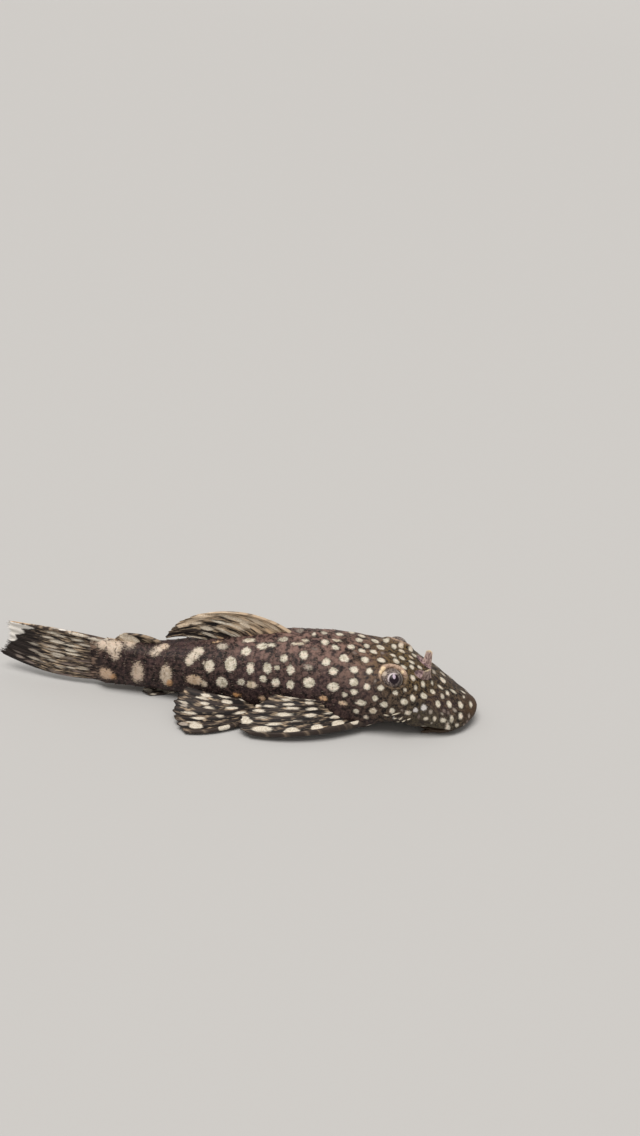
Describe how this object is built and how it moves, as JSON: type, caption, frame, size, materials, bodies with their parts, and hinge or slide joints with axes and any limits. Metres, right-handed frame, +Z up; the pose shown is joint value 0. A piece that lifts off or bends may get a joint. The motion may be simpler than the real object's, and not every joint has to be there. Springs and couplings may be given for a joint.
{
  "type": "bristlenose pleco",
  "caption": "Young spotted sucker-mouthed catfish resting on its belly, with armoured flanks, a laid-back dorsal fin and fins spread at the sides.",
  "frame": {"origin": "on the flat of the belly, near the middle of the fish, at the level of the floor it rests on", "axes": "+X towards the snout, +Y to the fish's left, +Z up"},
  "size_m": [0.0854, 0.0313, 0.0159],
  "materials": {
    "skin": "dark brown, cream spots, damp sheen",
    "fins": "thin grey membrane with pale dashes on the rays",
    "lips": "soft, bumpy, pale brown",
    "eyes": "wet, glossy"
  },
  "bodies": {
    "root": {"head": "skin", "torso": "skin", "tail": "skin", "mouth_disc": "lips", "dorsal_fin": "fins", "adipose_fin": "fins", "anal_fin": "fins", "caudal_fin": "fins", "pectoral_fin_left": "fins", "pectoral_fin_right": "fins", "pelvic_fin_left": "fins", "pelvic_fin_right": "fins", "eye_left": "eyes", "eye_right": "eyes"}
  },
  "joints": []
}
